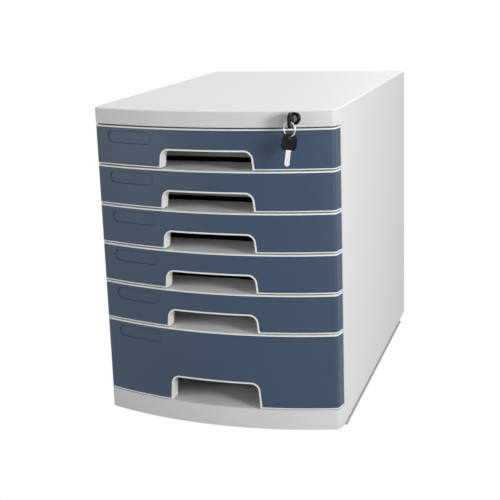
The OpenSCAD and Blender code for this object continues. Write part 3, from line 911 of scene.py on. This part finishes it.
@dataclass
class DrawerFront:
    """A drawer's front: the light frame with its lips and notch, and the blue panel in it."""

    plan: BowedPlan
    low: float
    high: float
    notch_h: float
    tray_y: float
    boss_z: Sequence[float]
    ledge_x: float = 84.0
    notch_foot: float = 54.5
    notch_top: float = 52.0
    notch_r: float = 9.0
    rim_t: float = 1.8
    lining_end: float = 17.0
    ledge_t: float = 1.8
    lip_h: float = 1.2
    fit: float = 0.1
    skin: float = 0.2
    panel_t: float = 2.0
    wall_t: float = 2.0
    edge_gap: float = 0.8
    label_x: float = 95.0
    label_w: float = 60.0
    label_h: float = 13.6
    label_drop: float = 12.6
    label_deep: float = 1.0
    label_round: float = 0.4
    panel_round: float = 0.45
    frame_round: float = 0.35
    ledge_round: float = 0.5
    foot_drop: float = 3.0
    boss_x: float = 74.3
    boss_r: float = 4.0

    def __post_init__(self) -> None:
        """Works out where the front ends on the side returns."""
        self.end_y = self.plan.front_y - self.edge_gap
        self.end_s = self.plan.side_length(self.end_y)
        self.wall_in = self.skin + self.panel_t + self.fit

    def notch_outline(self, grow: float, drop: float) -> list[Point]:
        """The finger notch, wider by grow, with its foot drop below the front's edge.

        Args:
            grow: How much wider than the notch it is.
            drop: How far its foot lies below the front's edge.

        Returns:
            Its points, as length along the face and height.
        """
        foot = Vector((self.plan.length_at(self.notch_foot + grow), 0.0))
        crown = Vector((self.plan.length_at(self.notch_top + grow), self.notch_h + grow))
        r = self.notch_r + grow
        down = (foot - crown).normalized()
        half = math.acos(down.dot(Vector((-1, 0)))) / 2
        centre = crown + (down + Vector((-1, 0))).normalized() * (r / math.sin(half))
        start = math.degrees(math.atan2(down.x, -down.y))
        right = [(foot.x, -drop), *arc((centre.x, centre.y), r, start, 90, count=14)]
        both = right + [(-x, z) for x, z in reversed(right)]
        return [(x, z + self.low) for x, z in both]

    def label_middle(self) -> Point:
        """Where the label recess's middle lies on the flat panel."""
        return -self.plan.length_at(self.label_x), self.high - self.label_drop

    def label_outline(self) -> list[Point]:
        """The label recess's outline: straight above and below, round at both ends.

        Returns:
            Its points, as length along the face and height.
        """
        middle, z = self.label_middle()
        r, reach = self.label_h / 2, (self.label_w - self.label_h) / 2
        return [*arc((middle + reach, z), r, -90, 90, count=20),
                *arc((middle - reach, z), r, 90, 270, count=20)]

    def panel(self, name: str) -> bpy.types.Object:
        """Models the blue panel flat, rounds it, and wraps it round the bow.

        Args:
            name: The piece's name.

        Returns:
            The panel, in millimetres.
        """
        low, high = self.low + self.lip_h + self.fit, self.high - self.ledge_t - self.fit
        back = self.skin + self.panel_t
        piece = Bench.block(name, (-self.end_s, self.skin, low), (self.end_s, back, high))
        Bench.combine(piece, [
            Bench.prism("notch_cut", self.notch_outline(self.rim_t + self.fit, self.foot_drop),
                        self.skin - PAST, back + PAST, "Y")])
        Bench.soften(piece, self.panel_round, segments=3)
        Bench.combine(piece, [
            Bench.prism("label_cut", self.label_outline(), self.skin - PAST,
                        self.skin + self.label_deep, "Y")])
        Bench.round_edges(piece, self._on_label, self.label_round, segments=3)
        # marks the recess's wall for painted shade in the panel's colour
        self._mark_shade(piece)
        Bench.slice(piece, self.plan.cuts(self.end_s))
        Bench.reshape(piece, self.plan.wrap)
        return piece

    def _on_label(self, a: Vector, b: Vector) -> bool:
        """Whether two points both lie within the label recess or on its rim.

        Args:
            a: A point of the flat panel.
            b: Another one.

        Returns:
            True if both do.
        """
        middle, z = self.label_middle()
        half_w, half_h = self.label_w / 2 + self.label_round, self.label_h / 2 + self.label_round
        return all(abs(p.x - middle) < half_w and abs(p.z - z) < half_h for p in (a, b))

    def _mark_shade(self, piece: bpy.types.Object) -> None:
        """Marks the label recess's wall, whose colour is darkened as painted shade.

        Args:
            piece: The flat panel, with its recess cut and rounded.
        """
        marks = piece.data.attributes.new(SHADE_MARK, "FLOAT", "FACE")
        for face in piece.data.polygons:
            within = self.skin + NEAR < face.center.y < self.skin + self.label_deep - NEAR
            marks.data[face.index].value = float(within and self._on_label(face.center, face.center))

    def _lining(self, points: np.ndarray) -> np.ndarray:
        """Wraps the frame, and draws the notch's lining straight back to one depth.

        Args:
            points: A row of s, depth and height for each point.

        Returns:
            A row of X, Y and Z for each point.
        """
        limit = self.wall_in + self.wall_t
        flat = points.copy()
        flat[:, 1] = np.minimum(points[:, 1], limit)
        placed = self.plan.wrap(flat)
        behind = points[:, 1] > limit + NEAR
        share = (points[:, 1] - limit) / (self.lining_end - limit)
        end = self.plan.nose_y + self.lining_end
        placed[:, 1] = np.where(behind, placed[:, 1] + share * (end - placed[:, 1]), placed[:, 1])
        return placed

    def frame(self, name: str) -> bpy.types.Object:
        """Models the frame: wall, lower lip and notch rim flat, then the ledge on top.

        Args:
            name: The piece's name.

        Returns:
            The frame, in millimetres.
        """
        back = self.wall_in + self.wall_t
        top = self.high - self.ledge_t / 2
        wall = Bench.block("wall", (-self.end_s, self.wall_in, self.low), (self.end_s, back, top))
        lip = Bench.block("lip", (-self.end_s, 0.0, self.low),
                          (self.end_s, self.wall_in + self.wall_t / 2, self.low + self.lip_h))
        ring = Bench.prism("ring", self.notch_outline(self.rim_t, 0.0), 0.0, self.lining_end, "Y")
        hole = Bench.prism("hole", self.notch_outline(0.0, self.foot_drop), -PAST,
                           self.lining_end + PAST, "Y")
        Bench.combine(wall, [lip, ring], "UNION")
        Bench.combine(wall, [hole])
        Bench.soften(wall, self.frame_round, segments=3)
        Bench.slice(wall, self.plan.cuts(self.end_s))
        Bench.reshape(wall, self._lining)
        return Bench.merge([wall, self.ledge(), *self.bosses()], name)

    def ledge(self) -> bpy.types.Object:
        """The plate on top of the front, whose rounded edge is the bright lip.

        Returns:
            The plate, in millimetres.
        """
        outline = self.plan.outline(self.end_y)
        tail = [(self.ledge_x, self.end_y), (self.ledge_x, self.tray_y),
                (-self.ledge_x, self.tray_y), (-self.ledge_x, self.end_y)]
        plate = Bench.prism("ledge", outline + tail, self.high - self.ledge_t, self.high)
        Bench.round_edges(plate, lambda a, b: max(a.y, b.y) < self.end_y + NEAR
                          and abs(a.z - b.z) < NEAR, self.ledge_round, segments=3)
        return plate

    def bosses(self) -> list[bpy.types.Object]:
        """The screw bosses between the wall and the tray.

        Returns:
            A piece for each boss.
        """
        made = []
        for z in self.boss_z:
            for x in (-self.boss_x, self.boss_x):
                start = self.plan.bow_y(x) + self.wall_in + self.wall_t / 2
                made.append(Bench.rod("boss", (x, start, self.low + z), (x, self.tray_y, self.low + z),
                                      self.boss_r, sides=32))
        return made


@dataclass
class Drawer:
    """One drawer: its front and its tray."""

    number: int
    plan: BowedPlan
    tray_round: float = 0.5
    notch_h: Point = (20.0, 29.0)
    boss_z: Point = (24.0, 66.0)

    @property
    def deep(self) -> bool:
        """Whether it is the deep drawer, which has the taller notch and two rows of bosses."""
        return self.number == DEEP

    def front(self) -> DrawerFront:
        """The front's sizes, read from the frame's solid.

        Returns:
            The front, with its sizes.
        """
        low, high = node_box(f"drawer_frame_{self.number}")
        tray_low, _ = node_box(f"drawer_tray_{self.number}")
        return DrawerFront(self.plan, low.z, high.z, self.notch_h[self.deep], tray_low.y,
                           self.boss_z[:1 + self.deep])

    @staticmethod
    def raised(source: bpy.types.Object, name: str, rise: float) -> bpy.types.Object:
        """A copy of a piece with a mesh of its own, moved up in metres.

        Args:
            source: The piece to copy.
            name: The copy's name.
            rise: How far up the copy goes, in metres.

        Returns:
            The copy.
        """
        piece = linked(name, source.data.copy())
        piece.data.transform(Matrix.Translation((0, 0, rise)))
        return piece

    def tray(self, name: str) -> bpy.types.Object:
        """The tray's solid with its rims and corners softened."""
        return Bench.softened(f"drawer_tray_{self.number}", name, self.tray_round)


class DrawerStack:
    """All six drawers. The shallow ones are modelled once and copied."""

    PARTS = (("front_frame", "drawer_frame", Finish.FRAME),
             ("front_panel", "drawer_panel", Finish.PANEL),
             ("tray_shell", "drawer_tray", Finish.TRAY))

    def __init__(self, plan: BowedPlan, fitter: Fitter) -> None:
        """Keeps the plan of the fronts and the fitter."""
        self.plan = plan
        self.fitter = fitter

    def build(self) -> None:
        """Models the pattern drawers, copies them and fits every piece."""
        patterns: dict[bool, tuple[float, list[bpy.types.Object]]] = {}
        for number in range(1, DRAWERS + 1):
            drawer = Drawer(number, self.plan)
            front = drawer.front()
            names = [f"{part}_{number}" for part, _, _ in self.PARTS]
            if drawer.deep not in patterns:
                made = [Bench.settle(front.frame(names[0])), Bench.settle(front.panel(names[1])),
                        drawer.tray(names[2])]
                patterns[drawer.deep] = front.low, made
            else:
                low, sources = patterns[drawer.deep]
                rise = (front.low - low) * MM
                made = [Drawer.raised(source, name, rise) for source, name in zip(sources, names)]
            for piece, (_, node, finish) in zip(made, self.PARTS):
                self.fitter.fit(piece, f"drawer_{number}", finish, f"{node}_{number}")
            self.fitter.keep(f"frame_screws_{number}", Finish.STEEL)


# ------------------------------------------------------------------ casing


@dataclass
class Casing:
    """The outer mouldings: cover, sides, back and plinth."""

    plan: BowedPlan
    fitter: Fitter
    edge: float = 1.6
    seam: float = 0.04

    def cover(self) -> bpy.types.Object:
        """The top cover with its soft upper edge.

        Returns:
            The cover, in metres.
        """
        piece = Bench.from_node("top_cover", "top_cover_moulding")
        top = node_box("top_cover")[1].z
        Bench.round_edges(piece, lambda a, b: min(a.z, b.z) > top - NEAR, self.edge, segments=5)
        Bench.soften(piece, self.seam)
        return Bench.settle(piece)

    def build(self) -> None:
        """Makes and fits the casing."""
        self.fitter.fit(self.cover(), "root", Finish.SHELL, "top_cover")
        for node in ("side_panel_left", "side_panel_right", "back_panel", "base_plinth"):
            piece = Bench.softened(node, f"{node}_moulding", self.seam)
            self.fitter.fit(piece, "root", Finish.SHELL, node)
        for node, finish in (("foot_pads", Finish.RUBBER), ("casing_screws", Finish.STEEL),
                             ("back_screws", Finish.STEEL), ("bar_guides", Finish.FRAME)):
            self.fitter.keep(node, finish)


# ------------------------------------------------------------------ lock and keys


@dataclass
class KeyPattern:
    """A key drawn flat: the blade points along X, and the bow's ring end lies at -X."""

    bow_len: float
    bow_w: float
    bow_t: float
    blade_len: float = 17.5
    blade_w: float = 6.0
    blade_t: float = 1.8
    inside: float = 5.0
    hole_in: float = 4.5
    hole_r: float = 2.2
    heel_r: float = 4.0
    nose_r: float = 7.0
    bow_round: float = 0.8
    bow_rim: float = 1.2
    edge_round: float = 0.12
    tip_len: float = 2.1
    tip_half: float = 1.0
    cut_count: int = 5
    cut_first: float = 4.5
    cut_pitch: float = 2.6
    cut_half: float = 1.1
    cut_foot: float = 0.3
    cut_deep: float = 0.9
    cut_over: float = 0.1
    groove_y: tuple[float, float] = (-1.5, 0.3)
    groove_start: float = 0.5
    groove_deep: float = 0.4
    dish_near: float = 3.0
    dish_far: float = 10.4
    dish_half: float = 4.4
    dish_r: float = 1.6
    dish_deep: float = 0.25

    @staticmethod
    def both_faces(thickness: float, deep: float) -> tuple[Point, Point]:
        """From where to where a tool reaches that sinks both faces of a flat part."""
        return (-PAST, deep), (thickness - deep, thickness + PAST)

    def blade(self, name: str) -> bpy.types.Object:
        """The milled blade: tip, cuts, a groove along each face and softened edges.

        Args:
            name: The piece's name.

        Returns:
            The flat blade, in millimetres.
        """
        half, length = self.blade_w / 2, self.blade_len
        outline = [(-self.inside, -half), (length - self.tip_len, -half), (length, -self.tip_half),
                   (length, self.tip_half), (length - self.tip_len, half), (-self.inside, half)]
        piece = Bench.prism(name, outline, 0.0, self.blade_t)
        tools = []
        for i in range(self.cut_count):
            at, foot = length - self.cut_first - i * self.cut_pitch, half - self.cut_deep
            top = half + self.cut_over
            cut = [(at - self.cut_half, top), (at - self.cut_foot, foot),
                   (at + self.cut_foot, foot), (at + self.cut_half, top)]
            tools.append(Bench.prism("cut", cut, -PAST, self.blade_t + PAST))
        near, far = self.groove_y
        for low, high in self.both_faces(self.blade_t, self.groove_deep):
            tools.append(Bench.block("groove", (self.groove_start, near, low), (length + PAST, far, high)))
        Bench.combine(piece, tools)
        Bench.soften(piece, self.edge_round)
        return piece

    def bow(self, name: str) -> bpy.types.Object:
        """The moulded head: rounded all round, dished on both sides, with its ring hole.

        Args:
            name: The piece's name.

        Returns:
            The flat bow, in millimetres.
        """
        half, hole_x = self.bow_w / 2, self.hole_in - self.bow_len
        outline = rounded_box(-self.bow_len, 0.0, half, self.nose_r, self.heel_r,
                              left_flats=14, right_flats=10)
        piece = Bench.prism(name, outline, 0.0, self.bow_t)
        Bench.soften(piece, self.bow_round, segments=4)
        side, middle = self.blade_w / 2, self.bow_t / 2
        tools = [Bench.rod("hole", (hole_x, 0, -PAST), (hole_x, 0, self.bow_t + PAST), self.hole_r,
                           sides=40),
                 Bench.block("slot", (-self.inside, -side, middle - self.blade_t / 2),
                             (PAST, side, middle + self.blade_t / 2))]
        dish = rounded_box(-self.dish_far, -self.dish_near, self.dish_half, self.dish_r, self.dish_r,
                           left_flats=6, right_flats=6)
        for low, high in self.both_faces(self.bow_t, self.dish_deep):
            tools.append(Bench.prism("dish", dish, low, high))
        Bench.combine(piece, tools)
        Bench.round_edges(piece, lambda a, b: max(abs(a.y), abs(b.y)) < half - self.bow_rim
                          and max(a.x, b.x) < -self.bow_rim, self.edge_round, segments=2)
        return piece


@dataclass
class LockSet:
    """The cam lock, its two keys on their ring, and the locking bar."""

    fitter: Fitter
    ring_turn: float = -25.0
    spare_turn: float = 35.0
    spare_tilt: float = 8.0
    ring_seat: float = 1.1
    wire: float = 0.6
    wire_r: float = 0.58
    head_t: float = 4.2
    head_round: float = 1.1
    barrel_r: float = 5.5
    barrel_in: float = 2.0
    thread_count: int = 9
    thread_first: float = 6.4
    thread_pitch: float = 2.1
    thread_w: float = 0.7
    thread_root: float = 5.15
    thread_out: float = 7.0
    thread_past: Point = (1.0, 2.0)
    face_r: float = 5.1
    face_deep: float = 0.5
    bore_r: float = 3.95
    body_round: float = 0.1

    def __post_init__(self) -> None:
        """Reads the lock's axis and the keys' places from their solids."""
        low, high = node_box("lock_body")
        self.x, self.z = (low.x + high.x) / 2, (low.z + high.z) / 2
        self.front_y, self.end_y, self.head_r = low.y, high.y, (high.x - low.x) / 2
        low, high = node_box("key_bow")
        self.key = KeyPattern(high.y - low.y, high.z - low.z, high.x - low.x)
        self.bow_y = high.y
        self.hole_y = low.y + self.key.hole_in

    def body(self) -> bpy.types.Object:
        """The black lock body: a chamfered head with a sunk face, and a barrel with thread lines.

        Returns:
            The body, in millimetres.
        """
        front, end = self.front_y, self.end_y
        head = self.turned("lock_head", front, front + self.head_t, self.head_r, sides=72)
        Bench.round_edges(head, lambda a, b: max(a.y, b.y) < front + NEAR, self.head_round, segments=4)
        Bench.combine(head, [self.turned("barrel", front + self.barrel_in, end, self.barrel_r)], "UNION")
        tools = []
        for i in range(self.thread_count):
            y = front + self.thread_first + i * self.thread_pitch
            groove = self.turned("groove", y, y + self.thread_w, self.thread_out)
            before, after = self.thread_past
            Bench.combine(groove, [self.turned("core", y - before, y + after, self.thread_root)])
            tools.append(groove)
        tools.append(self.turned("face", front - PAST, front + self.face_deep, self.face_r, sides=64))
        tools.append(self.turned("bore", front - PAST, end + PAST, self.bore_r))
        Bench.combine(head, tools)
        Bench.soften(head, self.body_round, angle=50.0)
        return head

    def turned(self, name: str, start: float, end: float, radius: float, sides: int = 56) -> bpy.types.Object:
        """A round bar on the lock's axis, between two places along Y."""
        return Bench.rod(name, (self.x, start, self.z), (self.x, end, self.z), radius, sides)

    def ring(self) -> bpy.types.Object:
        """The split ring: two flat turns of wire side by side, at rest in the bow's hole.

        Returns:
            The ring, in millimetres.
        """
        low, high = node_box("key_ring")
        radius = (high.z - low.z) / 2 - self.wire
        turns = []
        for side in (-self.wire / 2, self.wire / 2):
            Bench.clear()
            bpy.ops.mesh.primitive_torus_add(major_radius=radius, minor_radius=self.wire_r,
                                             major_segments=96, minor_segments=16, location=(0, 0, 0))
            turn = bpy.context.active_object
            Bench.reshape(turn, lambda p, at=side: p * (1.0, 1.0, 0.5) + (0.0, 0.0, at))
            turns.append(turn)
        ring = Bench.merge(turns, "split_ring")
        stand = Matrix.Translation((self.x, self.hole_y, (low.z + high.z) / 2))
        spin = Matrix.Rotation(math.radians(self.ring_turn), 4, "Z") @ Matrix.Rotation(math.pi / 2, 4, "X")
        ring.data.transform(stand @ spin)
        return ring

    def in_lock(self, thickness: float) -> Matrix:
        """Where a key's part lies with its blade in the lock."""
        return (Matrix.Translation((self.x + thickness / 2, self.bow_y, self.z))
                @ Matrix.Rotation(-math.pi / 2, 4, "Y") @ Matrix.Rotation(math.pi / 2, 4, "Z"))

    def hanging(self, thickness: float) -> Matrix:
        """Where a key's part lies as the spare key hangs from the ring.

        Args:
            thickness: How thick the part is.

        Returns:
            The part's place.
        """
        hole_z = node_box("key_ring")[0].z + self.wire - self.ring_seat
        return (Matrix.Translation((self.x, self.hole_y, hole_z))
                @ Matrix.Rotation(math.radians(self.spare_turn), 4, "Z")
                @ Matrix.Rotation(math.radians(self.spare_tilt), 4, "Y")
                @ Matrix.Translation((0, thickness / 2, self.key.hole_in - self.key.bow_len))
                @ Matrix.Rotation(math.pi / 2, 4, "X") @ Matrix.Rotation(-math.pi / 2, 4, "Z"))

    def keys(self) -> None:
        """Models both keys from one pattern and fits them."""
        key = self.key
        for name, body, spot in (("key", "lock_plug", self.in_lock),
                                 ("spare_key", "spare_key", self.hanging)):
            blade, bow = key.blade(f"{name}_milled_blade"), key.bow(f"{name}_moulded_bow")
            blade.data.transform(spot(key.blade_t))
            bow.data.transform(spot(key.bow_t))
            self.fitter.fit(Bench.settle(blade), body, Finish.STEEL, f"{name}_blade")
            self.fitter.fit(Bench.settle(bow), body, Finish.KEY, f"{name}_bow")

    def build(self) -> None:
        """Makes and fits the lock's pieces."""
        self.fitter.fit(Bench.settle(self.body()), "root", Finish.LOCK, "lock_body")
        self.fitter.fit(Bench.settle(self.ring()), "key_ring", Finish.STEEL, "key_ring")
        self.keys()
        for node, body, finish, width in (("lock_plug", "lock_plug", Finish.STEEL, 0.15),
                                          ("lock_cam", "lock_plug", Finish.ZINC, 0.2),
                                          ("lock_clip", "root", Finish.ZINC, 0.2),
                                          ("locking_bar", "locking_bar", Finish.ZINC, 0.3),
                                          ("bar_hooks", "locking_bar", Finish.ZINC, 0.3)):
            self.fitter.fit(Bench.softened(node, f"{node}_part", width), body, finish, node)
        self.fitter.keep("cam_screw", Finish.STEEL)


# ------------------------------------------------------------------ stage


@dataclass(frozen=True)
class Lamp:
    """A square soft light that looks at a point."""

    name: str
    place: Place
    aim: Place
    size: float
    power: float

    def light(self) -> None:
        """Hangs the lamp."""
        data = bpy.data.lights.new(self.name, "AREA")
        data.shape = "SQUARE"
        data.size = self.size
        data.energy = self.power
        lamp = linked(self.name, data)
        lamp.location = self.place
        lamp.rotation_euler = (Vector(self.aim) - Vector(self.place)).to_track_quat("-Z", "Y").to_euler()


LAMPS = (
    Lamp("key_light", (1.25, -0.8, 0.62), (0.05, -0.1, 0.25), 0.35, 13.5),
    Lamp("top_light", (0.3, 0.2, 2.4), (0, 0, 0.3), 1.6, 31),
    Lamp("front_fill", (-1.7, -1.9, 0.5), (0, 0, 0.2), 1.2, 17),
    Lamp("edge_light", (1.0, -1.5, 0.3), (0.13, -0.2, 0.2), 0.35, 1.6),
    Lamp("back_fill", (0.4, 2.4, 1.2), (0, 0, 0.2), 1.8, 12),
)


def white_rays(tree: bpy.types.NodeTree) -> bpy.types.NodeSocket:
    """A socket that is 1 for the rays that show the white background.

    Args:
        tree: The nodes of a material or of the world.

    Returns:
        The socket. Those rays are the camera's own, and the ones in metal and glass.
    """
    path = tree.nodes.new("ShaderNodeLightPath")
    seen = path.outputs["Is Camera Ray"]
    for ray in ("Is Transmission Ray", "Is Glossy Ray"):
        most = tree.nodes.new("ShaderNodeMath")
        most.operation = "MAXIMUM"
        tree.links.new(seen, most.inputs[0])
        tree.links.new(path.outputs[ray], most.inputs[1])
        seen = most.outputs[0]
    return seen


@dataclass
class Studio:
    """Camera, lights, floor and world, in metres."""

    eye: Place = (0.39068, -1.24337, 0.50828)
    right: Place = (0.95058, 0.30871, -0.03320)
    up: Place = (-0.03587, 0.21538, 0.97587)
    lens: float = 72.56
    sensor: float = 36.0
    shift_y: float = -0.1
    world_tint: Place = (1.0, 0.99, 0.97)
    world_light: float = 0.27
    floor_z: float = -0.001
    floor_size: float = 12.0
    floor_shade: Colour = (150, 150, 150)
    shadow_half: Point = (0.1462, 0.183)
    shadow_fade: float = 0.002

    def camera(self) -> None:
        """Sets the camera at the photograph's viewing angle."""
        data = bpy.data.cameras.new("camera")
        data.lens = self.lens
        data.sensor_width = self.sensor
        data.shift_y = self.shift_y
        data.clip_start, data.clip_end = 0.05, 50.0
        camera = linked("camera", data)
        right, up = Vector(self.right).normalized(), Vector(self.up).normalized()
        back = right.cross(up)
        turn = Matrix((right, up, back)).transposed().to_4x4()
        camera.matrix_world = Matrix.Translation(self.eye) @ turn
        bpy.context.scene.camera = camera

    def world(self) -> None:
        """A pale world that is white where the camera sees it."""
        world = bpy.data.worlds.new("studio")
        bpy.context.scene.world = world
        world.use_nodes = True
        tree = world.node_tree
        light = tree.nodes["Background"]
        light.inputs[0].default_value = (*self.world_tint, 1.0)
        light.inputs[1].default_value = self.world_light
        white = tree.nodes.new("ShaderNodeBackground")
        white.inputs[0].default_value = (1, 1, 1, 1)
        mix = tree.nodes.new("ShaderNodeMixShader")
        for source, socket in zip((white_rays(tree), light.outputs[0], white.outputs[0]), mix.inputs):
            tree.links.new(source, socket)
        tree.links.new(mix.outputs[0], tree.nodes["World Output"].inputs[0])

    def floor(self) -> None:
        """A pale floor that fades to the white of the background."""
        Bench.clear()
        bpy.ops.mesh.primitive_plane_add(size=self.floor_size, location=(0, 0, self.floor_z))
        floor = bpy.context.active_object
        floor.name = "studio_floor"
        paint = Painter("floor_white")
        paint.set(Base_Color=linear(self.floor_shade), Roughness=0.9)
        glow = paint.node("ShaderNodeEmission", Color=(1, 1, 1, 1))
        place = paint.node("ShaderNodeTexCoord").outputs["Object"]
        span = paint.node("ShaderNodeVectorMath", {"operation": "ABSOLUTE"}, Vector=place)
        past = paint.node("ShaderNodeVectorMath", {"operation": "SUBTRACT"}, Vector=span.outputs[0])
        past.inputs[1].default_value = (*self.shadow_half, 0.0)
        beyond = paint.node("ShaderNodeVectorMath", {"operation": "MAXIMUM"}, Vector=past.outputs[0])
        far = paint.node("ShaderNodeVectorMath", {"operation": "LENGTH"}, Vector=beyond.outputs[0])
        reach = paint.node("ShaderNodeMapRange", {"interpolation_type": "SMOOTHSTEP"},
                           Value=far.outputs["Value"], From_Min=0.0, From_Max=self.shadow_fade)
        share = Value(paint, white_rays(paint.tree)) * Value(paint, reach.outputs[0])
        mix = paint.node("ShaderNodeMixShader")
        for source, socket in zip((share, paint.shader.outputs[0], glow.outputs[0]), mix.inputs):
            paint.plug(socket, source)
        paint.plug(paint.tree.nodes["Material Output"].inputs[0], mix.outputs[0])
        floor.data.materials.append(paint.material)

    def build(self) -> None:
        """Sets the whole stage."""
        scene = bpy.context.scene
        scene.view_settings.view_transform = "Standard"
        self.camera()
        self.world()
        self.floor()
        for lamp in LAMPS:
            lamp.light()


def main() -> None:
    """Builds the cabinet's looks, sub-assembly by sub-assembly."""
    logging.basicConfig(level=logging.INFO, format="%(message)s")
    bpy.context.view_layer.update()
    Studio().build()
    fitter = Fitter(Palette())
    low, high = node_box("top_cover")
    plan = BowedPlan(high.x, low.y)
    DrawerStack(plan, fitter).build()
    Casing(plan, fitter).build()
    LockSet(fitter).build()


if __name__ == "__main__":
    main()
